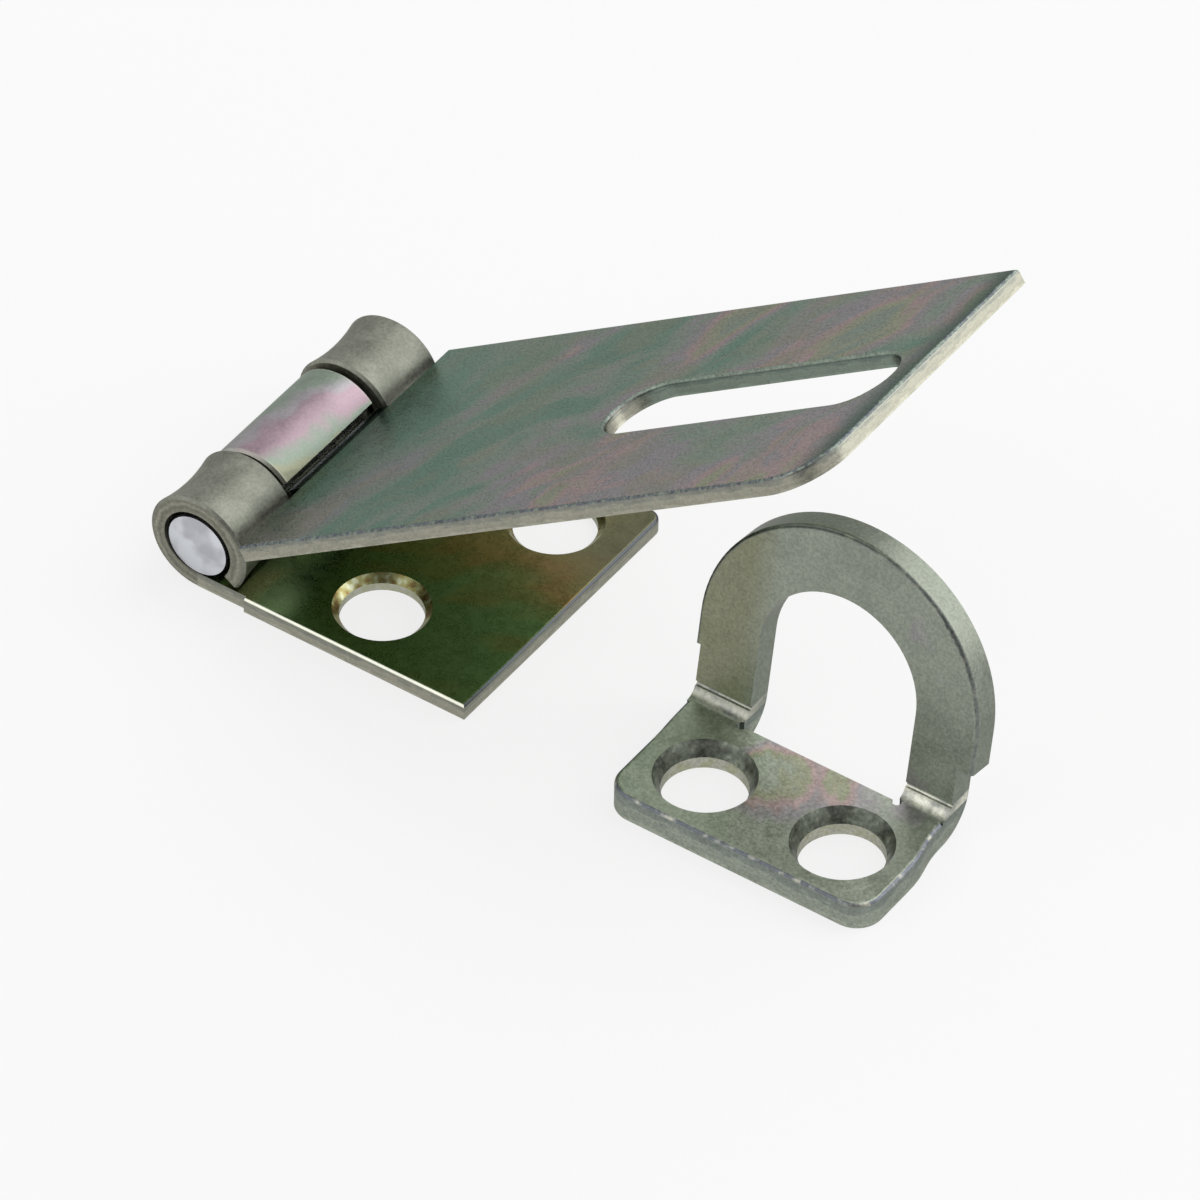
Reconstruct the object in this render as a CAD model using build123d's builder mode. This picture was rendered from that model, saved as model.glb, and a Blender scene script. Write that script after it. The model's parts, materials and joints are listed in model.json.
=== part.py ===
"""Safety hasp with its staple, stamped from sheet steel. Millimetres, +Z up off the mounting surface.

The hinge axis runs along Y. The leaf's back lies on Z = 0, and the origin is midway between its two screws.
The strap is drawn swung open, as it stands at rest.
"""
import os
from math import asin, cos, degrees, radians, sin

from build123d import *

# Hinge: pin, sheet and knuckles
sheet = 1.2
pin_diameter = 4.8
pin_clearance = 0.08
pin_dome = 0.4
barrel_length = 23.2
middle_knuckle = 10.4
knuckle_gap = 0.4
knuckle_flare = 0.3
leaf_curl = 305.0
flare_turn = 90.0
strap_curl_lip = 7.5

# Leaf: reaches are measured from the hinge axis
leaf_overhang = 0.3
leaf_reach = 22.5
leaf_shoulder = 4.1
leaf_notch_clearance = 0.9
leaf_corner = 1.0
near_screw_reach = 12.2
far_screw_reach = 16.8
screw_spread = 14.0
leaf_hole = 5.9
leaf_sink = 6.9
leaf_sink_angle = 82.0

# Strap: reaches are measured from the hinge axis along the strap
strap_angle = 34.0
strap_width = 25.0
strap_reach = 59.8
strap_shoulder = 4.9
strap_drop = 1.2
strap_bend = 1.9
strap_corner = 4.2
slot_width = 6.2
slot_length = 26.3
slot_end_bar = 2.0

# Staple: thicker sheet, its loop bent up at the back of the base, creased across both legs
staple_sheet = 2.1
staple_bend = 1.0
loop_lean = 9.0
loop_width = 22.4
loop_opening = 12.6
loop_leg = 5.8
loop_step = 3.0
loop_slot_clearance = 1.0
neck_inset_left = 0.45
neck_inset_right = 1.2
base_width = 21.2
base_depth = 10.2
base_corner = 2.0
base_waist = 5.0
staple_screw_spread = 11.1
staple_screw_setback = 5.4
staple_hole = 6.0
staple_sink = 7.2
staple_sink_angle = 55.0
crease_radius = 0.2
relief_radius = 0.35

# Edges: rounded over by the press on the punch side, bevelled round the knuckles' ends
die_roll = 0.3
staple_die_roll = 0.35
rim_bevel = 0.2
rim_start = 0.02
ledge_share = 0.8

# Worked-out hinge sizes
bore_radius = pin_diameter / 2 + pin_clearance
curl_radius = bore_radius + sheet
mid_radius = bore_radius + sheet / 2
hinge_x = -(near_screw_reach + far_screw_reach) / 2
hinge = (hinge_x, 0, curl_radius)
hinge_axis = Axis(hinge, (0, 1, 0))
leaf_knuckle = (barrel_length - middle_knuckle) / 2 - knuckle_gap
leaf_knuckle_centre = (barrel_length - leaf_knuckle) / 2
notch_half = middle_knuckle / 2 + knuckle_gap

# The strap's own directions in its open pose
along_strap = (cos(radians(strap_angle)), 0, sin(radians(strap_angle)))
off_strap = (-sin(radians(strap_angle)), 0, cos(radians(strap_angle)))
strap_flat = Plane(origin=hinge, x_dir=along_strap, z_dir=off_strap)

# The closed slot passes over the loop, which stands near the slot's outer end
slot_end = strap_reach - slot_end_bar
loop_radius = loop_width / 2
loop_x = hinge_x + slot_end - loop_slot_clearance - loop_radius


def radial_plane(angle):
    """Plane through the hinge axis: its X points away from the axis at this angle, its Y lies along it."""
    turn = radians(angle)
    return Plane(origin=hinge, x_dir=(cos(turn), 0, sin(turn)), z_dir=(-sin(turn), 0, cos(turn)))


def waist_line(start, middle, end):
    """One side of a knuckle's section: hollow like an arc, or straight before the flare begins."""
    if start[0] == middle[0]:
        return Line(start, end)
    return ThreePointArc(start, middle, end)


def knuckle_section(turned, centre):
    """Section of a leaf knuckle: straight where it leaves the leaf, waisted and bevelled once curled."""
    growth = sin(radians(90 * turned / flare_turn)) ** 2
    rim = rim_start + (rim_bevel - rim_start) * growth
    inner = bore_radius + knuckle_flare * growth
    outer = curl_radius + knuckle_flare * growth
    low = centre - leaf_knuckle / 2
    high = centre + leaf_knuckle / 2
    with BuildSketch(radial_plane(-90 - turned)) as section:
        with BuildLine():
            waist_line((inner, low), (bore_radius, centre), (inner, high))
            Polyline((inner, high), (outer - rim, high), (outer, high - rim))
            waist_line((outer, high - rim), (curl_radius, centre), (outer, low + rim))
            Polyline((outer, low + rim), (outer - rim, low), (inner, low))
        make_face()
    return section.sketch


# Hinge leaf: flat plate with two staggered screw holes, curled into the outer knuckles
barrel_half = barrel_length / 2
leaf_half = barrel_half + leaf_overhang
shoulder_x = hinge_x + leaf_shoulder
notch_x = hinge_x + curl_radius + leaf_notch_clearance
free_x = hinge_x + leaf_reach
screw_step = (far_screw_reach - near_screw_reach) / 2
flare_stations = 4

with BuildPart() as leaf:
    with BuildSketch():
        with BuildLine():
            Polyline(
                (free_x, -leaf_half),
                (free_x, leaf_half),
                (shoulder_x, leaf_half),
                (shoulder_x, barrel_half),
                (hinge_x, barrel_half),
                (hinge_x, notch_half),
                (notch_x, notch_half),
                (notch_x, -notch_half),
                (hinge_x, -notch_half),
                (hinge_x, -barrel_half),
                (shoulder_x, -barrel_half),
                (shoulder_x, -leaf_half),
                close=True,
            )
        make_face()
        far_corner = vertices().group_by(Axis.X)[-1].sort_by(Axis.Y)[-1]
        fillet(far_corner, radius=leaf_corner)
    extrude(amount=sheet)
    top_edges = faces().sort_by(Axis.Z)[-1].edges()
    shoulder_edges = top_edges.filter_by(lambda edge: edge.center().X < shoulder_x + sheet)
    fillet(top_edges - shoulder_edges, radius=die_roll)
    with Locations((-screw_step, -screw_spread / 2, sheet), (screw_step, screw_spread / 2, sheet)):
        CounterSinkHole(leaf_hole / 2, leaf_sink / 2, counter_sink_angle=leaf_sink_angle)
    for centre in (-leaf_knuckle_centre, leaf_knuckle_centre):
        flare_step = flare_turn / flare_stations
        flaring = [knuckle_section(station * flare_step, centre) for station in range(flare_stations + 1)]
        loft(sections=flaring)
        revolve(flaring[-1], axis=hinge_axis, revolution_arc=leaf_curl - flare_turn)
leaf.part.label = "hinge_leaf"

# Hinge pin: straight, with a shallow dome at each end
pin_radius = pin_diameter / 2
dome_radius = (pin_radius**2 + pin_dome**2) / (2 * pin_dome)
across_hinge = Plane(origin=hinge, z_dir=(0, 1, 0))

with BuildPart() as pin:
    with BuildSketch(across_hinge.offset(barrel_half)):
        Circle(pin_diameter)
    extrude(amount=pin_diameter)
    with Locations((hinge_x, barrel_half + pin_dome - dome_radius, curl_radius)):
        Sphere(dome_radius, mode=Mode.INTERSECT)
    with BuildSketch(across_hinge):
        Circle(pin_radius)
    extrude(amount=barrel_half)
    mirror(about=Plane.XZ)
pin.part.label = "hinge_pin"

# Strap: slotted plate, a joggled tongue and the middle knuckle
joggle = degrees(asin((strap_bend + strap_drop - sheet / 2) / (mid_radius + strap_bend)))
joggle_along = (mid_radius + strap_bend) * cos(radians(joggle))
joggle_off = -(mid_radius + strap_bend) * sin(radians(joggle))
joggle_axis = Axis(strap_flat.from_local_coords((joggle_along, 0, joggle_off)), (0, 1, 0))
curl_sweep = 360 - joggle - strap_curl_lip

with BuildPart() as strap:
    with BuildSketch(strap_flat.offset(-strap_drop)):
        with Locations(((strap_shoulder + strap_reach) / 2, 0)):
            Rectangle(strap_reach - strap_shoulder, strap_width)
        near_corner = vertices().group_by(Axis.X)[-1].sort_by(Axis.Y)[0]
        fillet(near_corner, radius=strap_corner)
        with Locations((slot_end - slot_length / 2, 0)):
            SlotOverall(slot_length, slot_width, mode=Mode.SUBTRACT)
    extrude(amount=sheet)
    punched_face = faces().sort_by(Axis(hinge, off_strap))[-1]
    root_edge = punched_face.edges().sort_by(Axis(hinge, along_strap))[0]
    fillet(punched_face.edges() - [root_edge], radius=die_roll)
    with BuildSketch(radial_plane(strap_angle - joggle)) as tongue:
        with Locations((mid_radius, 0)):
            Rectangle(sheet, middle_knuckle)
        chamfer(vertices().group_by(Axis.X)[-1], length=rim_bevel)
    revolve(axis=hinge_axis, revolution_arc=curl_sweep)
    bend = revolve(tongue.sketch, axis=joggle_axis, revolution_arc=90 - joggle)
    bend_end = bend.faces().sort_by(Axis(hinge, along_strap))[-1]
    extrude(bend_end, amount=strap_shoulder - joggle_along)
strap.part.label = "strap"

# Staple: the loop's slant is shared about the slot's centre line over the height that the strap passes
lean = radians(loop_lean)
bend_z = staple_sheet + staple_bend
loop_rise = (loop_leg + loop_radius) * sin(lean)
face_y = -(loop_rise + staple_sheet * cos(lean)) / 2
bend_y = face_y - staple_bend * cos(lean)
loop_face = Plane(
    origin=(loop_x, face_y, bend_z - staple_bend * sin(lean)),
    x_dir=(1, 0, 0),
    z_dir=(0, -cos(lean), sin(lean)),
)
opening_half = loop_opening / 2
neck_left = loop_radius - neck_inset_left
neck_right = loop_radius - neck_inset_right
base_half = base_width / 2
front_y = bend_y - base_depth
waist_y = bend_y - base_waist
loop_roll = min(staple_die_roll, ledge_share * neck_inset_left, ledge_share * neck_inset_right)

with BuildPart() as staple:
    with BuildSketch(loop_face):
        with BuildLine():
            Polyline(
                (-opening_half, loop_leg),
                (-opening_half, 0),
                (-neck_left, 0),
                (-neck_left, loop_step),
                (-loop_radius, loop_step),
                (-loop_radius, loop_leg),
            )
            CenterArc((0, loop_leg), loop_radius, 0, 180)
            Polyline(
                (loop_radius, loop_leg),
                (loop_radius, loop_step),
                (neck_right, loop_step),
                (neck_right, 0),
                (opening_half, 0),
                (opening_half, loop_leg),
            )
            CenterArc((0, loop_leg), opening_half, 0, 180)
        make_face()
    extrude(amount=-staple_sheet)
    front_edges = faces().sort_by(Axis(loop_face.origin, loop_face.z_dir))[-1].edges()
    crown = front_edges.filter_by(GeomType.CIRCLE).sort_by(SortBy.RADIUS)[-1:]
    sides = front_edges.filter_by(lambda edge: abs(edge.center().X - loop_x) > loop_radius - loop_roll)
    fillet(crown + sides, radius=loop_roll)
    with BuildSketch():
        with BuildLine():
            Polyline(
                (loop_x - base_half, waist_y),
                (loop_x - base_half, front_y),
                (loop_x + base_half, front_y),
                (loop_x + base_half, waist_y),
            )
            Bezier(
                (loop_x + base_half, waist_y),
                (loop_x + base_half, (waist_y + bend_y) / 2),
                (loop_x + neck_right, (waist_y + bend_y) / 2),
                (loop_x + neck_right, bend_y),
            )
            Line((loop_x + neck_right, bend_y), (loop_x - neck_left, bend_y))
            Bezier(
                (loop_x - neck_left, bend_y),
                (loop_x - neck_left, (waist_y + bend_y) / 2),
                (loop_x - base_half, (waist_y + bend_y) / 2),
                (loop_x - base_half, waist_y),
            )
        make_face()
        fillet(vertices().group_by(Axis.Y)[0], radius=base_corner)
    base = extrude(amount=staple_sheet)
    base_edges = base.faces().sort_by(Axis.Z)[-1].edges()
    fillet(base_edges.filter_by(lambda edge: edge.center().Y < bend_y - sheet), radius=staple_die_roll)
    for start_x, leg_width in (
        (loop_x - neck_left, neck_left - opening_half),
        (loop_x + opening_half, neck_right - opening_half),
    ):
        with BuildSketch(Plane.YZ.offset(start_x)):
            with BuildLine():
                inside = CenterArc((bend_y, bend_z), staple_bend, -90, 90 - loop_lean)
                outside = CenterArc((bend_y, bend_z), staple_bend + staple_sheet, -90, 90 - loop_lean)
                Line(inside @ 0, outside @ 0)
                Line(inside @ 1, outside @ 1)
            make_face()
        extrude(amount=leg_width)
    screw_y = bend_y - staple_screw_setback
    screw_half = staple_screw_spread / 2
    with Locations(
        (loop_x - screw_half, screw_y, staple_sheet),
        (loop_x + screw_half, screw_y, staple_sheet),
    ):
        CounterSinkHole(staple_hole / 2, staple_sink / 2, counter_sink_angle=staple_sink_angle)
    with Locations((loop_x - opening_half, bend_y), (loop_x + opening_half, bend_y)):
        Hole(relief_radius)
    with Locations(Plane(origin=loop_face.origin, z_dir=(1, 0, 0))):
        Cylinder(crease_radius, loop_width, mode=Mode.SUBTRACT)
staple.part.label = "staple"

os.makedirs("parts", exist_ok=True)
for piece in (leaf, pin, strap, staple):
    export_step(piece.part, f"parts/{piece.part.label}.step")
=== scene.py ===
"""Looks of a small safety hasp and its staple: passivated zinc on stamped steel, on a pale studio floor.

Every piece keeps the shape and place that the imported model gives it. Lengths are in metres.
"""

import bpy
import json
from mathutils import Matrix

bl_info = {
    "name": "Safety Hasp Finish",
    "version": (1, 0, 0),
    "blender": (4, 5, 0),
    "location": "3D View > Sidebar > Hasp",
    "description": "Plated finishes for a hinged hasp, its pin and its staple, with a plain studio stage",
    "category": "Object",
}

import json
from math import cos, pi, radians, sin

import bmesh
import bpy
from bpy.props import FloatProperty, FloatVectorProperty, PointerProperty
from mathutils import Matrix, Vector

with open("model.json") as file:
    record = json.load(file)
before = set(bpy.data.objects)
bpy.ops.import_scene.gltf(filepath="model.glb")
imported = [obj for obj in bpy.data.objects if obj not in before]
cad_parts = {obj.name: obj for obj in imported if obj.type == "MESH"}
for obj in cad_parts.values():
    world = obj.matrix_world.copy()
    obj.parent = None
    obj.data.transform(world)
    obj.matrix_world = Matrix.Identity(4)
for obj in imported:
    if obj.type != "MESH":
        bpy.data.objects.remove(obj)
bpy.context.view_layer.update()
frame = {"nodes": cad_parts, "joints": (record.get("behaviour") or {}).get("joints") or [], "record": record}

MILLIMETRE = 0.001

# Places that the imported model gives
hinge_joint = frame["joints"][0]
hinge = Vector(hinge_joint["pos_m"])
strap_tilt = -radians(hinge_joint["range_deg"][0])
mounts = {mount["name"]: mount for mount in frame["record"]["mounts"]}
staple_screws = Vector(mounts["staple_screws"]["pos_m"])
staple_screw_half = mounts["staple_screws"]["dims"]["spacing_x_mm"] * MILLIMETRE / 2

# Sheets, as modelled
SHEET = 0.0012
STAPLE_SHEET = 0.0021

# Leaf: its free end and half width, where its far corner turns a darker plain olive, its screws and a
# countersink's reach
LEAF_FREE_END = 0.008
LEAF_HALF = 0.0119
LEAF_CORNER = LEAF_HALF * 0.6
LEAF_SCREWS = ((-0.0023, -0.007), (0.0023, 0.007))
LEAF_SINK_REACH = 0.0036

# Strap, from the hinge: its shoulder and tip, the band of painted shade along the tip, half of the slot, and
# its knuckle
STRAP_SHOULDER = 0.0049
STRAP_REACH = 0.0598
STRAP_TIP_SHADE_BAND = 0.0029
SLOT_HALF = 0.0031
KNUCKLE_LENGTH = 0.0104

# Where the strap's green root ends and its paler outer part begins, how far out the slot's own edges count,
# and the width of the painted highlights on the rims of its knuckle
STRAP_ROOT_END = STRAP_REACH * 0.45
STRAP_OUTER_START = STRAP_REACH * 0.4
SLOT_EDGES = (SLOT_HALF * 1.15, SLOT_HALF * 1.3)
KNUCKLE_RIM_HIGHLIGHT = SHEET / 3

# Staple, from the middle of its screws: reach of a countersink, foot and lean of the loop, the ring of tints
# on the base, and where the left leg turns warm
STAPLE_SINK_REACH = 0.0037
LOOP_FOOT = 0.0031
LOOP_LEAN = radians(9)
RING_CENTRE = (-0.0005, 0.0031, 0)
RING_SPREAD = (0.0052, 0.0042, 1)
RING_REACH = (0.1, 1.4)
WARM_LEG = (-0.008, -0.005)

# Heights between which a painted highlight lies on the staple's bend, rising and falling
BEND_HIGHLIGHT_HEIGHTS = (STAPLE_SHEET * 0.99, STAPLE_SHEET * 1.05, STAPLE_SHEET * 1.3, LOOP_FOOT)

# A little past a face or a radius, so that the face itself is still taken in
JUST_PAST = 1.02

# How far a face turns off its sheet on a rolled edge, on a sheared wall and on the end of a knuckle
ROLLED_EDGE = (0.2, 0.45, 0.85, 0.97)
LEAF_ROLLED_EDGE = (0.25, 0.5, 0.85, 0.97)
UPRIGHT_WALL = (0.88, 0.98)
KNUCKLE_END = (0.85, 0.97)

# How far a face looks to the front, to the tip, down or up where its tone changes; the leaf's front edge
# and the top of the staple's base get painted light by it
FRONT_FACING = (-0.5, -0.25)
TIP_FACING = (0.5, 0.95)
DOWN_FACING = (-0.9, -0.5)
UP_FACING = (0.8, 0.95)

# How far a countersink's cone and the land of its hole look up
CONE_FACING = (0.2, 0.3, 0.85, 0.95)
LAND_FACING = (0.1, 0.2)
CONE_STEPS = (0.32, 0.5, 0.72)

# How much of a noise counts: nearly all of it, most of it, its core, and only the middle of that
NOISE_ALL = (0.2, 0.8)
NOISE_MOST = (0.25, 0.75)
NOISE_CORE = (0.3, 0.7)
NOISE_MIDDLE = (0.35, 0.65)

# Range of a noise over which one tone turns to the other
HINT_TURN = (0.45, 0.68)
STRAP_FLECK_TURN = (0.4, 0.7)
STAPLE_GLINT_TURN = (0.5, 0.68)
BEND_HIGHLIGHT_TURN = (0.35, 0.6)
PIN_STAIN_TURN = (0.36, 0.6)

# How strongly a tone covers the film: in the leaf's corner, over the strap and its knuckle, and on the loop;
# among them the painted shade at the strap's tip, and the painted highlights on the knuckle's rims and the
# bend
CORNER_SHARE = 0.8
HINT_SHARE = 0.5
ROOT_SHARE = 0.55
TIP_SHADE_SHARE = 0.95
UNDERSIDE_SHARE = 0.65
RIM_HIGHLIGHT_SHARE = 0.8
WARM_SHARE = 0.5
LOOP_EDGE_SHARE = 0.6
BEND_HIGHLIGHT_SHARE = (0.4, 1.0)

# How much lighter the strap's outer part is, and how much painted light lifts the top of the staple's base
# on the left and further right
OUTER_LIFT = 1.12
BASE_PAINTED_LIGHT_LEFT = 1.75
BASE_PAINTED_LIGHT_RIGHT = 1.4

# Share of a mirror's shine that the plating keeps when seen at a flat angle
EDGE_GLOSS = (0.6, 0.6, 0.6)

# Tone that leaves another unchanged when it is multiplied with it
PLAIN = (1, 1, 1)

# Film: how far its swirls are drawn out, the lumps that push them about, and the finer streaks in them
SWIRL_DRAW = 2.6
SWIRL_LUMP = 1.6
SWIRL_PUSH = 1.4
STREAK_WIDTH = 0.3
STREAK_DEPTH = 0.11

# Film on each piece: the width of its swirls against the plating's own, their slant, and the pattern's start
LEAF_SWIRL = 1.4
HINT_SWIRL = 0.45
STAPLE_SWIRL = 0.7
HASP_SLANT = radians(-40)
STAPLE_SLANT = radians(35)
LEAF_START = (0.31, 0.12, 0.05)
STRAP_START = (0, 0, 0)
HINT_START = (0.2, 0.4, 0.1)
STAPLE_START = (0.07, 0.02, 0.11)

# How the film thickens along the leaf and across it, along the strap, and from the staple's ring outwards
LEAF_FILM_ALONG = (-0.05, 0.09)
LEAF_FILM_ACROSS = (-0.1, 0.06)
STRAP_FILM_ALONG = (-0.11, 0.06)
RING_FILM = (0.4, 0.08)
STAPLE_FILM_SHARE = 0.6

# Sheared walls: size and draw of their flecks, how ragged their zones are, and the shade near the rolled edge
WALL_FLECK = 0.0003
WALL_DRAW = 0.22
WALL_RAGGED = 0.18
ROLL_SHADE = (0.78, 0.81, 0.86)

# Satin: grains to one cloud, how far a cloud shades and dulls, and how far a grain dulls and lifts
CLOUD_GRAINS = 6
CLOUD_SHADE = 0.07
CLOUD_DULL = 0.04
GRAIN_DULL = 0.05
GRAIN_LIFT = 0.25

# Grains to one fleck: in a countersink's cone, on the strap's edges, and to one painted glint on the staple's
# edges
CONE_GRAINS = 3
STRAP_EDGE_GRAINS = 1.6
STAPLE_GLINT_GRAINS = 5

# Depth of the light and dark specks, and of the grain's relief
LEAF_SPECKLE = 0.1
LEAF_KNUCKLE_SPECKLE = 0.2
STRAP_SPECKLE = 0.32
STRAP_SMOOTH_SPECKLE = 0.12
STAPLE_SPECKLE = 0.2
LEAF_RELIEF = 0.1
STRAP_RELIEF = 0.2
STAPLE_RELIEF = 0.2

# How much duller than the flat faces the knuckles and the staple are
LEAF_KNUCKLE_DULL = 0.18
STRAP_KNUCKLE_DULL = 0.12
STAPLE_DULL = 0.08

# Stains on the leaf's knuckles, wobble of the rings on their ends, clouds on the strap's knuckle, and patches
# of the painted highlight on the staple's bend
KNUCKLE_STAIN = 0.0024
RIM_WOBBLE = 0.0009
RIM_WOBBLE_DEPTH = 0.03
CURL_CLOUD = 0.003
CURL_CLOUD_DEPTH = 0.15
BEND_HIGHLIGHT_PATCH = 0.0012

# Pin: size of its clouds and grain, how far they dull it, and the grain's relief
PIN_CLOUD = 0.0022
PIN_GRAIN = 0.00025
PIN_DULL = 0.06
PIN_RELIEF = 0.15
PIN_LIFT = 0.00006

# Stage: gap below the part, how white the floor looks, and the world's plain light
FLOOR_DROP = 0.00005
FLOOR_WHITE = 0.78
WORLD_LIGHT = 0.55

# Parts of the surround that the gloss sees a little dimmer and much darker: direction, fall-off and level
DIM_SIDE = Vector((-0.75, 0.62, 0.2)).normalized()
DIM_SPAN = (0.2, 0.95)
DIM_LEVEL = 0.85
DARK_FRONT = Vector((0.5, -0.74, 0.45)).normalized()
DARK_SPAN = (0.8, 0.95)
DARK_LEVEL = 0.2

# Lamps: direction from the part, distance and side
KEY_LAMP = ((0.3, 0.62, 0.72), 0.8, 0.85)
RIM_LAMP = ((0.78, 0.6, 0.3), 0.8, 0.4)
EDGE_LAMP = ((-0.41, -0.68, 0.61), 0.9, 0.7)

# The camera sees from its distance divided by this to its distance times this
CLIP_RATIO = 100


class HaspPlating(bpy.types.PropertyGroup):
    """Colours and grain of the passivated zinc."""

    zinc: FloatVectorProperty(
        name="Zinc", description="Main grey-green of the plating",
        subtype="COLOR", min=0, max=1, default=(0.184, 0.222, 0.184),
    )
    teal: FloatVectorProperty(
        name="Teal", description="Greenest tint of the film on the strap",
        subtype="COLOR", min=0, max=1, default=(0.124, 0.207, 0.16),
    )
    violet: FloatVectorProperty(
        name="Violet", description="Violet-grey tint of the film",
        subtype="COLOR", min=0, max=1, default=(0.223, 0.211, 0.221),
    )
    rose: FloatVectorProperty(
        name="Rose", description="Rosy tint of the film",
        subtype="COLOR", min=0, max=1, default=(0.286, 0.219, 0.215),
    )
    pink: FloatVectorProperty(
        name="Pink", description="Pinkish film round the strap's knuckle",
        subtype="COLOR", min=0, max=1, default=(0.32, 0.24, 0.273),
    )
    olive: FloatVectorProperty(
        name="Olive", description="Yellowish tint of the film",
        subtype="COLOR", min=0, max=1, default=(0.235, 0.243, 0.172),
    )
    green: FloatVectorProperty(
        name="Green", description="Deep green of the leaf's face",
        subtype="COLOR", min=0, max=1, default=(0.16, 0.235, 0.108),
    )
    moss: FloatVectorProperty(
        name="Moss", description="Yellowish green of the leaf's face",
        subtype="COLOR", min=0, max=1, default=(0.212, 0.2, 0.085),
    )
    brown: FloatVectorProperty(
        name="Brown", description="Brownish patches of the leaf's face",
        subtype="COLOR", min=0, max=1, default=(0.275, 0.185, 0.078),
    )
    underside: FloatVectorProperty(
        name="Underside", description="Greenish tint under the strap",
        subtype="COLOR", min=0, max=1, default=(0.24, 0.33, 0.175),
    )
    dull: FloatVectorProperty(
        name="Dull zinc", description="Beige-grey of the outer knuckles",
        subtype="COLOR", min=0, max=1, default=(0.216, 0.222, 0.186),
    )
    plate: FloatVectorProperty(
        name="Plate", description="Paler grey-green of the staple",
        subtype="COLOR", min=0, max=1, default=(0.275, 0.302, 0.252),
    )
    sheared: FloatVectorProperty(
        name="Sheared wall", description="Beige tone of the sheared walls",
        subtype="COLOR", min=0, max=1, default=(0.30, 0.295, 0.24),
    )
    rolled: FloatVectorProperty(
        name="Rolled edge", description="Dark bluish tone along the edges that the punch rolled over",
        subtype="COLOR", min=0, max=1, default=(0.115, 0.125, 0.14),
    )
    # Tone of plating rubbed bright by the tools, also brightened into painted highlights on edges, knuckle
    # rims and the staple's bend
    burnish_and_highlight: FloatVectorProperty(
        name="Burnished", description="Bright tone where the tools rubbed the plating",
        subtype="COLOR", min=0, max=1, default=(0.42, 0.42, 0.36),
    )
    swirl: FloatProperty(
        name="Swirl", description="Width of one swirl of the film",
        unit="LENGTH", min=0.001, max=0.1, default=0.0085,
    )
    grain: FloatProperty(
        name="Grain", description="Size of the satin grain",
        unit="LENGTH", min=0.00005, max=0.002, default=0.00022,
    )
    satin: FloatProperty(
        name="Satin", description="Roughness of the flat plated faces",
        subtype="FACTOR", min=0, max=1, default=0.3,
    )


class HaspPin(bpy.types.PropertyGroup):
    """Finish of the hinge pin."""

    bright: FloatVectorProperty(
        name="Bright zinc", description="Silvery tone of the pin",
        subtype="COLOR", min=0, max=1, default=(0.62, 0.64, 0.67),
    )
    stain: FloatVectorProperty(
        name="Stain", description="Cloudy stains on the pin's ends",
        subtype="COLOR", min=0, max=1, default=(0.43, 0.43, 0.47),
    )
    satin: FloatProperty(
        name="Satin", description="Roughness of the pin's ends",
        subtype="FACTOR", min=0, max=1, default=0.26,
    )


class HaspStage(bpy.types.PropertyGroup):
    """Floor, lamps and camera."""

    azimuth: FloatProperty(
        name="Azimuth", description="Camera's turn round the part, from looking along +Y",
        subtype="ANGLE", default=radians(34.045),
    )
    elevation: FloatProperty(
        name="Elevation", description="Camera's height above the horizon",
        subtype="ANGLE", default=radians(42.751),
    )
    roll: FloatProperty(
        name="Roll", description="Camera's turn about its own axis, negative lifts the picture's right side",
        subtype="ANGLE", default=radians(-1.114),
    )
    field_of_view: FloatProperty(
        name="Field of view", description="Angle across the square picture",
        subtype="ANGLE", default=radians(5.3677),
    )
    distance: FloatProperty(
        name="Distance", description="Camera's distance from the point it looks at",
        unit="LENGTH", default=0.8738,
    )
    aim: FloatVectorProperty(
        name="Aim", description="Point on the floor that the camera looks at",
        subtype="TRANSLATION", unit="LENGTH", default=(0.00865, 0.00325, 0),
    )
    floor_size: FloatProperty(
        name="Floor", description="Side of the square floor",
        unit="LENGTH", default=4.0,
    )
    floor_tone: FloatVectorProperty(
        name="Floor tone", description="Colour of the pale floor",
        subtype="COLOR", min=0, max=1, default=(0.9, 0.9, 0.9),
    )
    key_power: FloatProperty(
        name="Key power", description="Power of the large soft lamp behind the part",
        unit="POWER", default=3.2,
    )
    rim_power: FloatProperty(
        name="Rim power", description="Power of the low lamp behind the strap's tip",
        unit="POWER", default=0.8,
    )
    edge_power: FloatProperty(
        name="Edge power", description="Power of the lamp in front that draws a line along the near edges",
        unit="POWER", default=0.75,
    )


def add_node(tree, kind, inputs=None, **settings):
    """Adds one node, sets it up, and fills or wires the inputs that are named."""
    node = tree.nodes.new(kind)
    for name, value in settings.items():
        setattr(node, name, value)
    for key, value in (inputs or {}).items():
        if isinstance(value, bpy.types.NodeSocket):
            tree.links.new(value, node.inputs[key])
        else:
            node.inputs[key].default_value = value
    return node


def calculate(tree, operation, first, second=0.0, clamp=False):
    """One sum on numbers."""
    node = add_node(tree, "ShaderNodeMath", {0: first, 1: second}, operation=operation, use_clamp=clamp)
    return node.outputs[0]


def both(tree, first, second):
    """Mask of the places that two masks share."""
    return calculate(tree, "MULTIPLY", first, second)


def choose(tree, mask, off, on):
    """The number that holds off a mask, and the one that holds on it."""
    return add_node(tree, "ShaderNodeMix", {0: mask, 2: off, 3: on}).outputs[0]


def combine(tree, operation, first, second=(0, 0, 0)):
    """One sum on vectors, as a vector."""
    node = add_node(tree, "ShaderNodeVectorMath", {0: first, 1: second}, operation=operation)
    return node.outputs["Vector"]


def measure(tree, operation, first, second=(0, 0, 0)):
    """One sum on vectors, as a number."""
    node = add_node(tree, "ShaderNodeVectorMath", {0: first, 1: second}, operation=operation)
    return node.outputs["Value"]


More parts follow.
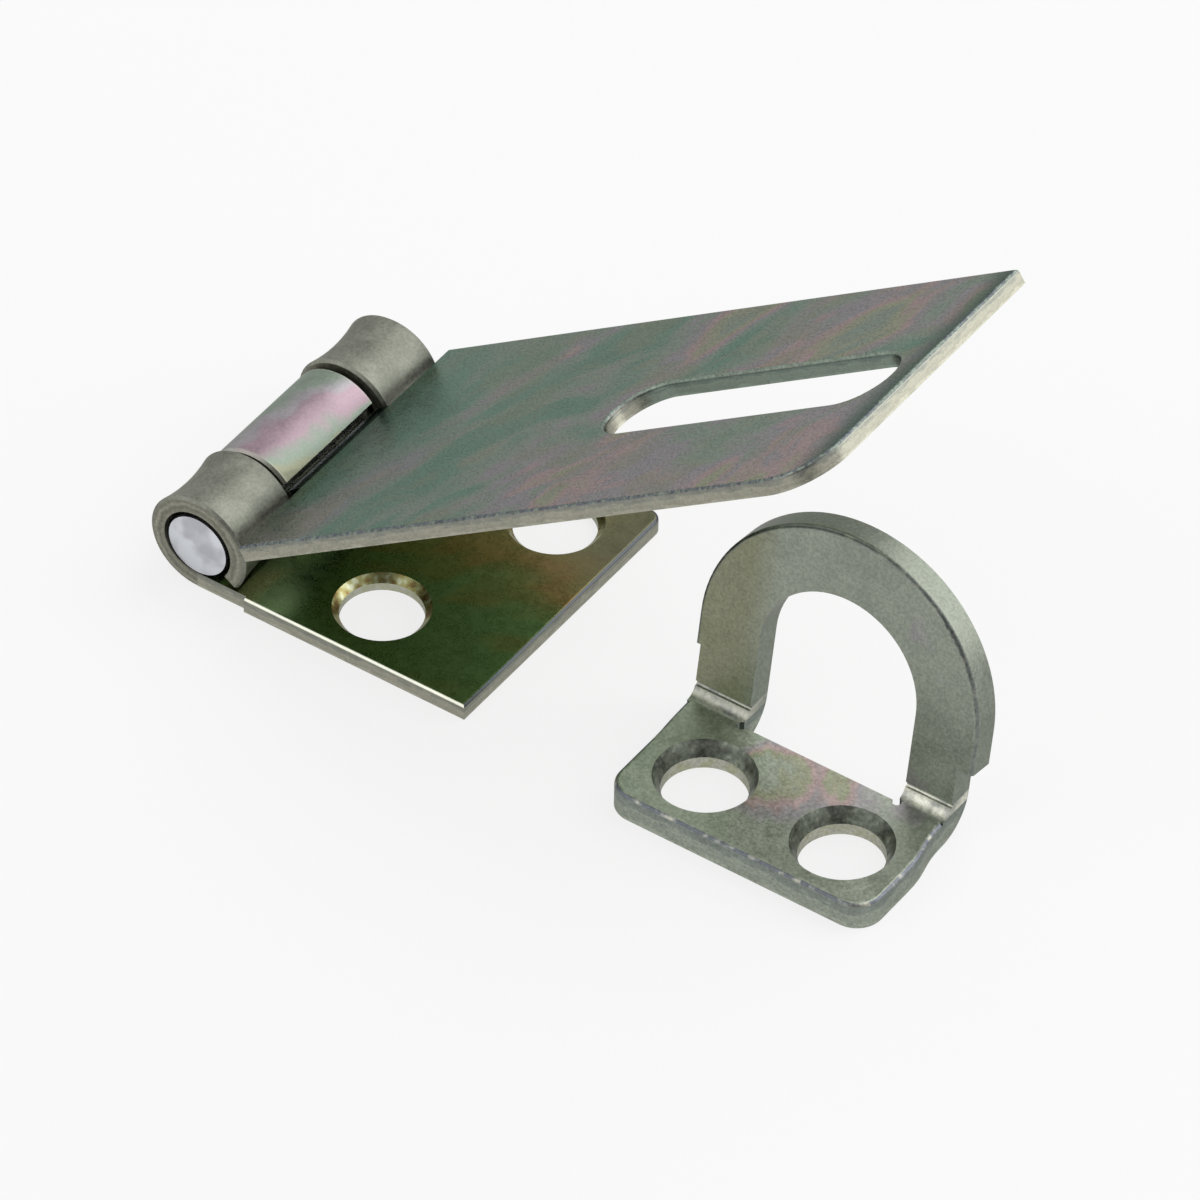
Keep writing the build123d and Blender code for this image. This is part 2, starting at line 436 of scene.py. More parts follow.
def split(tree, vector):
    """The three numbers of a vector."""
    return add_node(tree, "ShaderNodeSeparateXYZ", {0: vector}).outputs


def blend(tree, factor, first, second, blend_type="MIX"):
    """Mixes two colours, each a socket or three numbers."""
    colours = [part if isinstance(part, bpy.types.NodeSocket) else (*part, 1) for part in (first, second)]
    inputs = {0: factor, 6: colours[0], 7: colours[1]}
    node = add_node(tree, "ShaderNodeMix", inputs, data_type="RGBA", blend_type=blend_type)
    return node.outputs[2]


def tinted(tree, colour, tone):
    """A colour multiplied by a tone."""
    return blend(tree, 1.0, colour, tone, "MULTIPLY")


def remap(tree, value, low, high, to_low=0.0, to_high=1.0):
    """Spreads a number from one range smoothly over another."""
    inputs = {0: value, 1: low, 2: high, 3: to_low, 4: to_high}
    return add_node(tree, "ShaderNodeMapRange", inputs, interpolation_type="SMOOTHSTEP").outputs[0]


def between(tree, value, low, rise, fall, high):
    """Soft mask: nothing up to low, one from rise to fall, nothing from high on."""
    rising = remap(tree, value, low, rise)
    falling = remap(tree, value, fall, high, 1.0, 0.0)
    return both(tree, rising, falling)


def noise(tree, place, size, detail=2.0, roughness=0.5):
    """Cloudy noise whose lumps are about this size."""
    inputs = {"Vector": place, "Scale": 1 / size, "Detail": detail, "Roughness": roughness}
    return add_node(tree, "ShaderNodeTexNoise", inputs).outputs


def tint_ramp(tree, value, stops):
    """Colour ramp through these stops, each a place and a colour."""
    node = add_node(tree, "ShaderNodeValToRGB", {0: value})
    elements = node.color_ramp.elements
    node.color_ramp.interpolation = "EASE"
    stops = list(stops)
    while len(elements) < len(stops):
        elements.new(1.0)
    for element, (position, colour) in zip(elements, stops):
        element.position = position
        element.color = (*colour, 1)
    return node.outputs[0]


def shaded(colour, factor):
    """The same colour, lighter or darker."""
    return tuple(factor * part for part in colour)


def new_material(name):
    """Empty node material: its tree and its metal shader."""
    material = bpy.data.materials.new(name)
    material.use_nodes = True
    tree = material.node_tree
    shader = tree.nodes["Principled BSDF"]
    shader.inputs["Metallic"].default_value = 1.0
    shader.inputs["Specular Tint"].default_value = (*EDGE_GLOSS, 1)
    return material, tree, shader


def wire_surface(tree, shader, colour, rough, bump):
    """Wires a finish to its shader."""
    tree.links.new(colour, shader.inputs["Base Color"])
    tree.links.new(rough, shader.inputs["Roughness"])
    tree.links.new(bump, shader.inputs["Normal"])


def own_axes(tree, origin, turn=(0, 0, 0)):
    """The piece's own place and facing, read from a point and turned with the sheet."""
    source = add_node(tree, "ShaderNodeTexCoord").outputs
    place = {"Vector": source["Object"], "Location": origin, "Rotation": turn}
    facing = {"Vector": source["Normal"], "Rotation": turn}
    return [
        add_node(tree, "ShaderNodeMapping", inputs, vector_type="TEXTURE").outputs[0]
        for inputs in (place, facing)
    ]


def film_thickness(tree, place, swirl, slant, start):
    """Thickness of the passivation's film: swirls drawn out along a slant, with finer streaks in them."""
    shifted = combine(tree, "ADD", place, start)
    lumps = noise(tree, shifted, swirl * SWIRL_LUMP, detail=1.0)["Color"]
    push = combine(tree, "SUBTRACT", lumps, (0.5, 0.5, 0.5))
    push = combine(tree, "MULTIPLY", push, (swirl * SWIRL_PUSH,) * 3)
    warped = combine(tree, "ADD", shifted, push)
    inputs = {"Vector": warped, "Rotation": (0, 0, slant), "Scale": (1, SWIRL_DRAW, 1)}
    drawn = add_node(tree, "ShaderNodeMapping", inputs, vector_type="TEXTURE").outputs[0]
    broad = noise(tree, drawn, swirl, detail=1.5)["Fac"]
    streaks = noise(tree, drawn, swirl * STREAK_WIDTH)["Fac"]
    streaks = remap(tree, streaks, *NOISE_ALL, -STREAK_DEPTH, STREAK_DEPTH)
    return calculate(tree, "ADD", broad, streaks)


def turned_off(tree, along_normal):
    """How far a face turns off the sheet: nothing on the flat, one on a wall."""
    square = calculate(tree, "MULTIPLY", along_normal, along_normal)
    return calculate(tree, "SQRT", calculate(tree, "SUBTRACT", 1.0, square, clamp=True))


def sheared_wall(tree, place, depth):
    """Sheared wall: a bright burr below, a broken and flecked zone, then a smooth, polished one near the
    roll.
    """
    drawn = combine(tree, "MULTIPLY", place, (WALL_DRAW, WALL_DRAW, 1))
    flecks = noise(tree, drawn, WALL_FLECK, roughness=0.6)["Fac"]
    ragged = remap(tree, flecks, *NOISE_MOST, -WALL_RAGGED, WALL_RAGGED)
    return tint_ramp(
        tree, calculate(tree, "ADD", depth, ragged),
        (
            (0.05, shaded(PLAIN, 1.2)),
            (0.2, shaded(PLAIN, 0.96)),
            (0.5, shaded(PLAIN, 1.06)),
            (0.7, ROLL_SHADE),
            (0.95, shaded(ROLL_SHADE, 0.88)),
        ),
    )


def near_screws(tree, place, centres, reach):
    """Mask of the places within reach of a screw's axis."""
    flat = combine(tree, "MULTIPLY", place, (1, 1, 0))
    nearest = 1.0
    for x, y in centres:
        nearest = calculate(tree, "MINIMUM", nearest, measure(tree, "DISTANCE", flat, (x, y, 0)))
    return calculate(tree, "LESS_THAN", nearest, reach)


def countersink(tree, place, rise, inside, colour, cone, plating):
    """Lays a countersink's speckled cone, of three tones, and the pale land of its hole over a colour."""
    specks = noise(tree, place, plating.grain * CONE_GRAINS, detail=1.5, roughness=0.6)["Fac"]
    cone = tint_ramp(tree, specks, zip(CONE_STEPS, cone))
    land = blend(tree, remap(tree, specks, *NOISE_MIDDLE), plating.burnish_and_highlight, shaded(plating.olive, 1.5))
    on_cone = both(tree, inside, between(tree, rise, *CONE_FACING))
    on_land = both(tree, inside, remap(tree, rise, *LAND_FACING, 1.0, 0.0))
    colour = blend(tree, on_cone, colour, cone)
    return blend(tree, on_land, colour, land)


def satin_surface(tree, shader, place, colour, rough, plating, speckle, relief):
    """Satin grain over a piece: light and dark specks, cloudy dulling and a faint bump."""
    fine = noise(tree, place, plating.grain, roughness=0.7)["Fac"]
    cloud = noise(tree, place, plating.grain * CLOUD_GRAINS, detail=4.0, roughness=0.65)["Fac"]
    clouded = remap(tree, cloud, *NOISE_CORE, 1 - CLOUD_SHADE, 1 + CLOUD_SHADE)
    specks = calculate(tree, "MULTIPLY", remap(tree, fine, *NOISE_MOST, -1.0, 1.0), speckle)
    specks = calculate(tree, "ADD", specks, 1.0)
    colour = tinted(tree, colour, calculate(tree, "MULTIPLY", clouded, specks))
    rough = calculate(tree, "ADD", rough, remap(tree, cloud, *NOISE_CORE, -CLOUD_DULL, CLOUD_DULL))
    grainy = remap(tree, fine, *NOISE_ALL, -GRAIN_DULL, GRAIN_DULL)
    rough = calculate(tree, "ADD", rough, grainy, clamp=True)
    inputs = {"Strength": relief, "Distance": plating.grain * GRAIN_LIFT, "Height": fine}
    bump = add_node(tree, "ShaderNodeBump", inputs).outputs[0]
    wire_surface(tree, shader, colour, rough, bump)


def leaf_film(tree, place, plating):
    """Dark film on the leaf's face: green, moss and brown, turning a darker plain olive in the far corner."""
    x, y, _ = split(tree, place)
    film = film_thickness(tree, place, plating.swirl * LEAF_SWIRL, HASP_SLANT, LEAF_START)
    film = calculate(tree, "ADD", film, remap(tree, x, hinge.x, LEAF_FREE_END, *LEAF_FILM_ALONG))
    film = calculate(tree, "ADD", film, remap(tree, y, -LEAF_HALF, LEAF_HALF, *LEAF_FILM_ACROSS))
    colour = tint_ramp(
        tree, film,
        (
            (0.35, plating.green),
            (0.46, plating.moss),
            (0.56, plating.brown),
            (0.68, plating.moss),
        ),
    )
    corner = both(tree, remap(tree, x, 0, LEAF_FREE_END), remap(tree, y, 0, LEAF_CORNER, 0.0, CORNER_SHARE))
    return blend(tree, corner, colour, shaded(plating.olive, 0.4))


def ring_rim(tree, place, plating):
    """Cut end of a knuckle: faint rings round the hinge's axis."""
    arm = combine(tree, "MULTIPLY", combine(tree, "SUBTRACT", place, hinge), (1, 0, 1))
    ring = calculate(tree, "DIVIDE", measure(tree, "LENGTH", arm), hinge.z)
    wobble = noise(tree, place, RIM_WOBBLE)["Fac"]
    wobble = remap(tree, wobble, *NOISE_ALL, -RIM_WOBBLE_DEPTH, RIM_WOBBLE_DEPTH)
    return tint_ramp(
        tree, calculate(tree, "ADD", ring, wobble),
        (
            (0.7, shaded(plating.sheared, 0.55)),
            (0.78, shaded(plating.sheared, 0.8)),
            (0.86, shaded(plating.sheared, 0.6)),
            (0.93, shaded(plating.sheared, 0.95)),
            (0.99, shaded(plating.sheared, 0.7)),
        ),
    )


def leaf_finish(plating):
    """Dark olive face of the screw leaf, a painted highlight on its front edge, and its two dull knuckles."""
    material, tree, shader = new_material("leaf_plating")
    place, facing = own_axes(tree, (0, 0, 0))
    x, _, z = split(tree, place)
    _, ny, nz = split(tree, facing)
    turned = turned_off(tree, nz)
    colour = leaf_film(tree, place, plating)

    # Painted highlight: the leaf's front rolled edge takes a brightened copy of the rubbed-bright tone, its
    # other rolled edges a darker rolled tone
    front_edge_highlight = shaded(plating.burnish_and_highlight, 1.7)
    other_edges = shaded(plating.rolled, 0.6)
    edge = blend(tree, remap(tree, ny, *FRONT_FACING), front_edge_highlight, other_edges)
    colour = blend(tree, between(tree, turned, *LEAF_ROLLED_EDGE), colour, edge)

    depth = calculate(tree, "DIVIDE", z, SHEET)
    wall = tinted(tree, sheared_wall(tree, place, depth), plating.sheared)
    colour = blend(tree, remap(tree, turned, *UPRIGHT_WALL), colour, wall)

    inside = near_screws(tree, place, LEAF_SCREWS, LEAF_SINK_REACH)
    cone = (shaded(plating.brown, 0.7), shaded(plating.moss, 1.3), shaded(plating.olive, 2.0))
    colour = countersink(tree, place, nz, inside, colour, cone, plating)

    above = calculate(tree, "GREATER_THAN", z, SHEET * JUST_PAST)
    behind = calculate(tree, "LESS_THAN", x, hinge.x)
    curled = calculate(tree, "MAXIMUM", above, behind)
    stain = noise(tree, place, KNUCKLE_STAIN, detail=3.0, roughness=0.6)["Fac"]
    stain = remap(tree, stain, *NOISE_MIDDLE)
    dull = blend(tree, stain, shaded(plating.dull, 0.88), shaded(plating.dull, 1.12))
    colour = blend(tree, curled, colour, dull)
    end = remap(tree, calculate(tree, "ABSOLUTE", ny), *KNUCKLE_END)
    colour = blend(tree, both(tree, end, curled), colour, ring_rim(tree, place, plating))

    rough = choose(tree, curled, plating.satin, plating.satin + LEAF_KNUCKLE_DULL)
    speckle = choose(tree, curled, LEAF_SPECKLE, LEAF_KNUCKLE_SPECKLE)
    satin_surface(tree, shader, place, colour, rough, plating, speckle, LEAF_RELIEF)
    return material


def strap_film(tree, place, nz, plating):
    """Swirling film on the strap: greener at the root and underneath, paler further out, with painted shade
    along the tip.
    """
    along = split(tree, place)[0]
    film = film_thickness(tree, place, plating.swirl, HASP_SLANT, STRAP_START)
    film = calculate(tree, "ADD", film, remap(tree, along, 0, STRAP_REACH, *STRAP_FILM_ALONG))
    colour = tint_ramp(
        tree, film,
        (
            (0.28, shaded(plating.teal, 0.93)),
            (0.37, plating.teal),
            (0.46, plating.zinc),
            (0.54, plating.violet),
            (0.6, plating.rose),
            (0.67, plating.olive),
            (0.75, plating.zinc),
        ),
    )
    hints = film_thickness(tree, place, plating.swirl * HINT_SWIRL, HASP_SLANT, HINT_START)
    hints = remap(tree, hints, *HINT_TURN, 0.0, HINT_SHARE)
    colour = blend(tree, hints, colour, shaded(plating.olive, 0.85))
    root = remap(tree, along, 0, STRAP_ROOT_END, ROOT_SHARE, 0.0)
    colour = blend(tree, root, colour, plating.teal)
    outer = remap(tree, along, STRAP_OUTER_START, STRAP_REACH, 1.0, OUTER_LIFT)
    colour = tinted(tree, colour, outer)
    # Painted shade: the strap's face darkens towards the tip, standing in for its wide rolled tip falling
    # dark
    tip = remap(tree, along, STRAP_REACH - STRAP_TIP_SHADE_BAND, STRAP_REACH, 0.0, TIP_SHADE_SHARE)
    colour = blend(tree, tip, colour, shaded(plating.teal, 0.5))
    underneath = remap(tree, nz, *DOWN_FACING, UNDERSIDE_SHARE, 0.0)
    return blend(tree, underneath, colour, plating.underside)


def curl_film(tree, place, plating):
    """Rainbow film round the strap's knuckle: yellow and green at the lip, then pink, then violet-grey."""
    along, across, off = split(tree, place)
    turn = calculate(tree, "DIVIDE", calculate(tree, "ARCTAN2", off, along), pi / 2)
    lean = calculate(tree, "DIVIDE", across, KNUCKLE_LENGTH * 2)
    cloud = noise(tree, place, CURL_CLOUD)["Fac"]
    cloud = remap(tree, cloud, *NOISE_ALL, -CURL_CLOUD_DEPTH, CURL_CLOUD_DEPTH)
    film = calculate(tree, "ADD", calculate(tree, "ADD", turn, lean), cloud)
    return tint_ramp(
        tree, film,
        (
            (0.0, shaded(plating.olive, 0.8)),
            (0.1, plating.olive),
            (0.22, shaded(plating.zinc, 1.12)),
            (0.42, shaded(plating.pink, 0.95)),
            (0.62, shaded(plating.pink, 1.07)),
            (0.78, shaded(plating.violet, 1.5)),
            (1.0, shaded(plating.zinc, 1.35)),
        ),
    )


def strap_finish(plating):
    """Swirling film of the slotted strap, its flecked edges, a rainbow film on its knuckle with painted
    highlights on its rims, and painted shade under its lip.
    """
    material, tree, shader = new_material("strap_plating")
    place, facing = own_axes(tree, hinge, (0, -strap_tilt, 0))
    along, across, off = split(tree, place)
    nx, ny, nz = split(tree, facing)
    turned = turned_off(tree, nz)
    sideways = calculate(tree, "ABSOLUTE", across)
    flat = calculate(tree, "GREATER_THAN", along, STRAP_SHOULDER)
    colour = strap_film(tree, place, nz, plating)

    outside = remap(tree, sideways, *SLOT_EDGES)
    outside = calculate(tree, "MAXIMUM", outside, remap(tree, nx, *TIP_FACING))
    flecks = noise(tree, place, plating.grain * STRAP_EDGE_GRAINS, roughness=0.7)["Fac"]
    flecks = remap(tree, flecks, *STRAP_FLECK_TURN)
    edge = blend(tree, flecks, plating.rolled, shaded(plating.zinc, 1.1))
    edge = blend(tree, outside, shaded(plating.zinc, 1.15), edge)
    roll = between(tree, turned, *ROLLED_EDGE)
    colour = blend(tree, both(tree, roll, flat), colour, edge)

    depth = calculate(tree, "ADD", calculate(tree, "DIVIDE", off, SHEET), 1.0)
    tone = blend(tree, outside, plating.zinc, plating.sheared)
    wall = tinted(tree, sheared_wall(tree, place, depth), tone)
    upright = both(tree, remap(tree, turned, *UPRIGHT_WALL), flat)
    colour = blend(tree, upright, colour, wall)

    reach = measure(tree, "LENGTH", combine(tree, "MULTIPLY", place, (1, 0, 1)))
    curled = calculate(tree, "LESS_THAN", reach, hinge.z * JUST_PAST)
    # Painted shade: the strap's tongue, in the gap under the knuckle's lip, is made nearly black
    gap_shade = calculate(tree, "SUBTRACT", calculate(tree, "SUBTRACT", 1.0, curled), flat, clamp=True)
    colour = blend(tree, gap_shade, colour, shaded(plating.teal, 0.2))
    colour = blend(tree, curled, colour, curl_film(tree, place, plating))
    knuckle_half = KNUCKLE_LENGTH / 2
    # Painted highlights: thin bright lines along both rims of the strap's knuckle
    rim = remap(tree, sideways, knuckle_half - KNUCKLE_RIM_HIGHLIGHT, knuckle_half, 0.0, RIM_HIGHLIGHT_SHARE)
    colour = blend(tree, both(tree, rim, curled), colour, plating.burnish_and_highlight)
    end = remap(tree, calculate(tree, "ABSOLUTE", ny), *KNUCKLE_END)
    colour = blend(tree, both(tree, end, curled), colour, shaded(plating.sheared, 0.6))

    rough = choose(tree, curled, plating.satin, plating.satin + STRAP_KNUCKLE_DULL)
    smooth = calculate(tree, "MAXIMUM", upright, curled)
    speckle = choose(tree, smooth, STRAP_SPECKLE, STRAP_SMOOTH_SPECKLE)
    satin_surface(tree, shader, place, colour, rough, plating, speckle, STRAP_RELIEF)
    return material


def staple_film(tree, place, nz, on_loop, plating):
    """Pale film on the staple: a base with painted light on its top and a ring of tints, and a warm left leg.
    """
    x = split(tree, place)[0]
    film = film_thickness(tree, place, plating.swirl * STAPLE_SWIRL, STAPLE_SLANT, STAPLE_START)
    film = calculate(tree, "MULTIPLY", film, STAPLE_FILM_SHARE)
    spread = combine(tree, "DIVIDE", combine(tree, "SUBTRACT", place, RING_CENTRE), RING_SPREAD)
    ring = measure(tree, "LENGTH", combine(tree, "MULTIPLY", spread, (1, 1, 0)))
    film = calculate(tree, "ADD", film, remap(tree, ring, *RING_REACH, *RING_FILM))
    colour = tint_ramp(
        tree, film,
        (
            (0.25, shaded(plating.plate, 0.9)),
            (0.45, plating.plate),
            (0.54, shaded(plating.violet, 1.25)),
            (0.6, shaded(plating.rose, 1.25)),
            (0.65, shaded(plating.olive, 1.15)),
            (0.7, plating.plate),
        ),
    )
    warm = both(tree, on_loop, remap(tree, x, *WARM_LEG, WARM_SHARE, 0.0))
    colour = blend(tree, warm, colour, shaded(plating.moss, 0.85))
    on_base = calculate(tree, "SUBTRACT", 1.0, on_loop)
    # Painted light: the up-facing top of the base is lightened, more on the left
    painted_top_light = both(tree, remap(tree, nz, *UP_FACING), on_base)
    rightward = remap(tree, x, -staple_screw_half, 0)
    lift = blend(tree, rightward, shaded(PLAIN, BASE_PAINTED_LIGHT_LEFT), shaded(PLAIN, BASE_PAINTED_LIGHT_RIGHT))
    return blend(tree, painted_top_light, colour, tinted(tree, colour, lift))


def staple_finish(plating):
    """Paler satin of the staple: flat base, edges with painted glints, a bend with a painted highlight, and
    leaning loop.
    """
    material, tree, shader = new_material("staple_plating")
    place, facing = own_axes(tree, staple_screws)
    x, _, z = split(tree, place)
    nz = split(tree, facing)[2]
    on_loop = calculate(tree, "GREATER_THAN", z, LOOP_FOOT)
    loop_out = (0, -cos(LOOP_LEAN), sin(LOOP_LEAN))
    loop_off = turned_off(tree, measure(tree, "DOT_PRODUCT", facing, loop_out))
    turned = choose(tree, on_loop, turned_off(tree, nz), loop_off)
    colour = staple_film(tree, place, nz, on_loop, plating)

    # Rolled edges: dark bluish, with painted glints in dashes of the rubbed-bright tone
    flecks = noise(tree, place, plating.grain * STAPLE_GLINT_GRAINS, roughness=0.6)["Fac"]
    flecks = remap(tree, flecks, *STAPLE_GLINT_TURN)
    edge = blend(tree, flecks, shaded(plating.rolled, 1.15), shaded(plating.burnish_and_highlight, 0.9))
    loop_edge = calculate(tree, "MULTIPLY", on_loop, LOOP_EDGE_SHARE)
    edge = blend(tree, loop_edge, edge, shaded(plating.plate, 0.7))
    colour = blend(tree, between(tree, turned, *ROLLED_EDGE), colour, edge)

    depth = calculate(tree, "DIVIDE", z, STAPLE_SHEET)
    wall = blend(tree, on_loop, sheared_wall(tree, place, depth), shaded(PLAIN, 0.8))
    wall = tinted(tree, wall, plating.plate)
    colour = blend(tree, remap(tree, turned, *UPRIGHT_WALL), colour, wall)

    # Painted highlight on the inside of the bend, broken into patches and brighter on the right
    highlight_patches = noise(tree, place, BEND_HIGHLIGHT_PATCH)["Fac"]
    highlight_patches = remap(tree, highlight_patches, *BEND_HIGHLIGHT_TURN, *BEND_HIGHLIGHT_SHARE)
    rubbed = both(tree, between(tree, z, *BEND_HIGHLIGHT_HEIGHTS), highlight_patches)
    rightward = remap(tree, x, 0, staple_screw_half)
    shine = blend(tree, rightward, plating.burnish_and_highlight, shaded(plating.burnish_and_highlight, 1.6))
    colour = blend(tree, rubbed, colour, shine)

    screws = ((-staple_screw_half, 0), (staple_screw_half, 0))
    in_base = calculate(tree, "LESS_THAN", z, STAPLE_SHEET * JUST_PAST)
    inside = both(tree, near_screws(tree, place, screws, STAPLE_SINK_REACH), in_base)
    cone = (shaded(plating.plate, 0.45), shaded(plating.plate, 0.7), shaded(plating.plate, 1.1))
    colour = countersink(tree, place, nz, inside, colour, cone, plating)

    rough = plating.satin + STAPLE_DULL
    satin_surface(tree, shader, place, colour, rough, plating, STAPLE_SPECKLE, STAPLE_RELIEF)
    return material


def pin_finish(finish):
    """Bright zinc of the pin, with cloudy stains on its ends."""
    material, tree, shader = new_material("pin_zinc")
    place = own_axes(tree, hinge)[0]
    cloud = noise(tree, place, PIN_CLOUD)["Fac"]
    fine = noise(tree, place, PIN_GRAIN, roughness=0.7)["Fac"]
    colour = blend(tree, remap(tree, cloud, *PIN_STAIN_TURN), finish.stain, finish.bright)
    rough = calculate(tree, "ADD", remap(tree, fine, *NOISE_ALL, -PIN_DULL, PIN_DULL), finish.satin)
    rough = calculate(tree, "ADD", rough, remap(tree, cloud, *NOISE_CORE, PIN_DULL, -PIN_DULL))
    inputs = {"Strength": PIN_RELIEF, "Distance": PIN_LIFT, "Height": fine}
    bump = add_node(tree, "ShaderNodeBump", inputs).outputs[0]
    wire_surface(tree, shader, colour, rough, bump)
    return material


def dress(node_name, material):
    """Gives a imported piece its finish."""
    piece = frame["nodes"][node_name]
    piece.material_slots[0].material = material


class HASP_OT_dress_leaf(bpy.types.Operator):
    """Finish the screw leaf"""

    bl_idname = "hasp.dress_leaf"
    bl_label = "Finish Leaf"

    def execute(self, context):
        dress("hinge_leaf", leaf_finish(context.scene.hasp_plating))
        return {"FINISHED"}


class HASP_OT_dress_strap(bpy.types.Operator):
    """Finish the slotted strap"""

    bl_idname = "hasp.dress_strap"
    bl_label = "Finish Strap"

    def execute(self, context):
        dress("strap", strap_finish(context.scene.hasp_plating))
        return {"FINISHED"}


class HASP_OT_dress_pin(bpy.types.Operator):
    """Finish the hinge pin"""

    bl_idname = "hasp.dress_pin"
    bl_label = "Finish Pin"

    def execute(self, context):
        dress("hinge_pin", pin_finish(context.scene.hasp_pin))
        return {"FINISHED"}


class HASP_OT_dress_staple(bpy.types.Operator):
    """Finish the staple"""

    bl_idname = "hasp.dress_staple"
    bl_label = "Finish Staple"

    def execute(self, context):
        dress("staple", staple_finish(context.scene.hasp_plating))
        return {"FINISHED"}


def floor_material(stage):
    """Pale floor that looks white and keeps a soft shadow."""
    material = bpy.data.materials.new("pale_floor")
    material.cycles.emission_sampling = "NONE"
    material.use_nodes = True
    tree = material.node_tree
    tree.nodes.remove(tree.nodes["Principled BSDF"])
    diffuse = add_node(tree, "ShaderNodeBsdfDiffuse", {"Color": (*stage.floor_tone, 1)}).outputs[0]
    white = add_node(tree, "ShaderNodeEmission", {"Color": (*PLAIN, 1), "Strength": 1.0}).outputs[0]
    path = add_node(tree, "ShaderNodeLightPath").outputs
    seen = calculate(tree, "MAXIMUM", path["Is Camera Ray"], path["Is Glossy Ray"])
    seen = calculate(tree, "MAXIMUM", seen, path["Is Transmission Ray"])
    lift = calculate(tree, "MULTIPLY", seen, FLOOR_WHITE)
    mixed = add_node(tree, "ShaderNodeMixShader", {0: lift, 1: diffuse, 2: white}).outputs[0]
    tree.links.new(mixed, tree.nodes["Material Output"].inputs["Surface"])
    return material


def build_floor(stage):
    """Large flat floor just under the part."""
    shape = bmesh.new()
    bmesh.ops.create_grid(shape, x_segments=1, y_segments=1, size=stage.floor_size / 2)
    bmesh.ops.translate(shape, verts=shape.verts, vec=(0, 0, -FLOOR_DROP))
    mesh = bpy.data.meshes.new("floor")
    shape.to_mesh(mesh)
    shape.free()
    mesh.materials.append(floor_material(stage))
    floor = bpy.data.objects.new("floor", mesh)
    bpy.context.scene.collection.objects.link(floor)


def build_world():
    """White studio: plain light on the part, and a graded surround for its gloss."""
    world = bpy.data.worlds.new("studio")
    bpy.context.scene.world = world
    world.cycles.sampling_method = "NONE"
    world.use_nodes = True
    tree = world.node_tree
    ray = add_node(tree, "ShaderNodeTexCoord").outputs["Generated"]
    path = add_node(tree, "ShaderNodeLightPath").outputs
    side = remap(tree, measure(tree, "DOT_PRODUCT", ray, DIM_SIDE), *DIM_SPAN, 1.0, DIM_LEVEL)
    front = remap(tree, measure(tree, "DOT_PRODUCT", ray, DARK_FRONT), *DARK_SPAN, 1.0, DARK_LEVEL)
    graded = calculate(tree, "MULTIPLY", side, front)
    glossy = calculate(tree, "MAXIMUM", path["Is Glossy Ray"], path["Is Transmission Ray"])
    level = choose(tree, glossy, WORLD_LIGHT, graded)
    level = choose(tree, path["Is Camera Ray"], level, 1.0)
    tree.links.new(level, tree.nodes["Background"].inputs["Strength"])
    tree.nodes["Background"].inputs["Color"].default_value = (*PLAIN, 1)


def add_lamp(name, direction, distance, size, power):
    """Square soft lamp that looks at the part from this direction."""
    lamp = bpy.data.lights.new(name, "AREA")
    lamp.energy = power
    lamp.size = size
    holder = bpy.data.objects.new(name, lamp)
    away = Vector(direction).normalized()
    holder.location = away * distance
    holder.rotation_euler = away.to_track_quat("Z", "Y").to_euler()
    bpy.context.scene.collection.objects.link(holder)


def build_camera(stage):
    """Long-lens camera at the photograph's angle."""
    camera = bpy.data.cameras.new("camera")
    camera.sensor_fit = "HORIZONTAL"
    camera.angle = stage.field_of_view
    camera.clip_start = stage.distance / CLIP_RATIO
    camera.clip_end = stage.distance * CLIP_RATIO
    back = Vector((
        sin(stage.azimuth) * cos(stage.elevation),
        -cos(stage.azimuth) * cos(stage.elevation),
        sin(stage.elevation),
    ))
    level = Vector((cos(stage.azimuth), sin(stage.azimuth), 0))
    upright = back.cross(level)
    right = level * cos(stage.roll) - upright * sin(stage.roll)
    up = back.cross(right)
    turn = Matrix((right, up, back)).transposed()
    holder = bpy.data.objects.new("camera", camera)
    holder.matrix_world = Matrix.Translation(Vector(stage.aim) + back * stage.distance) @ turn.to_4x4()
    bpy.context.scene.collection.objects.link(holder)
    bpy.context.scene.camera = holder


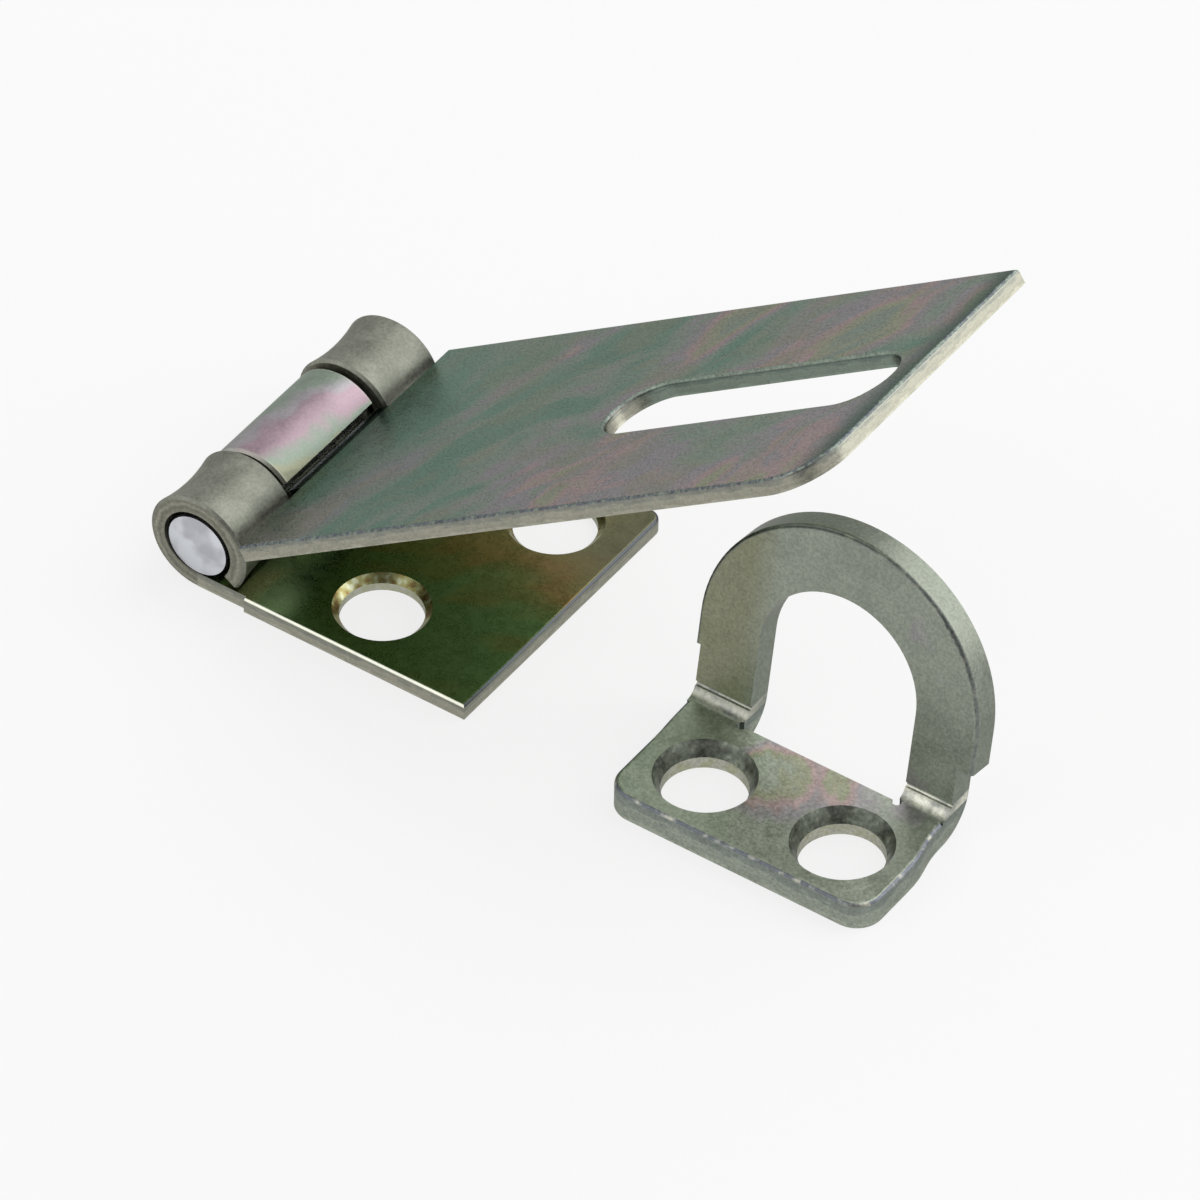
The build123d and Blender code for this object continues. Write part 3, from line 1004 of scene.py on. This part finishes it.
class HASP_OT_build_stage(bpy.types.Operator):
    """Set up the floor, the lamps and the camera"""

    bl_idname = "hasp.build_stage"
    bl_label = "Build Stage"

    def execute(self, context):
        stage = context.scene.hasp_stage
        build_floor(stage)
        build_world()
        add_lamp("key", *KEY_LAMP, stage.key_power)
        add_lamp("rim", *RIM_LAMP, stage.rim_power)
        add_lamp("edge", *EDGE_LAMP, stage.edge_power)
        build_camera(stage)
        context.scene.view_settings.view_transform = "Standard"
        return {"FINISHED"}


class HASP_PT_finish(bpy.types.Panel):
    """Finishes of the hasp and its stage"""

    bl_idname = "HASP_PT_finish"
    bl_label = "Safety Hasp"
    bl_space_type = "VIEW_3D"
    bl_region_type = "UI"
    bl_category = "Hasp"

    def draw(self, context):
        for group, operators in PANEL_ROWS:
            box = self.layout.box()
            settings = getattr(context.scene, group)
            for name in settings.bl_rna.properties.keys():
                if name not in ("rna_type", "name"):
                    box.prop(settings, name)
            for operator in operators:
                box.operator(operator.bl_idname)


PANEL_ROWS = (
    ("hasp_plating", (HASP_OT_dress_leaf, HASP_OT_dress_strap, HASP_OT_dress_staple)),
    ("hasp_pin", (HASP_OT_dress_pin,)),
    ("hasp_stage", (HASP_OT_build_stage,)),
)
GROUPS = {"hasp_plating": HaspPlating, "hasp_pin": HaspPin, "hasp_stage": HaspStage}
CLASSES = (
    *GROUPS.values(),
    HASP_OT_dress_leaf,
    HASP_OT_dress_strap,
    HASP_OT_dress_pin,
    HASP_OT_dress_staple,
    HASP_OT_build_stage,
    HASP_PT_finish,
)


def register():
    """Registers the classes and hangs their settings on the scene."""
    for part in CLASSES:
        bpy.utils.register_class(part)
    for name, group in GROUPS.items():
        setattr(bpy.types.Scene, name, PointerProperty(type=group))


def unregister():
    """Takes the settings and the classes away again."""
    for name in GROUPS:
        delattr(bpy.types.Scene, name)
    for part in reversed(CLASSES):
        bpy.utils.unregister_class(part)


def main():
    """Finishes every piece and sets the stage."""
    register()
    bpy.ops.hasp.dress_leaf()
    bpy.ops.hasp.dress_strap()
    bpy.ops.hasp.dress_pin()
    bpy.ops.hasp.dress_staple()
    bpy.ops.hasp.build_stage()


if __name__ == "__main__":
    main()
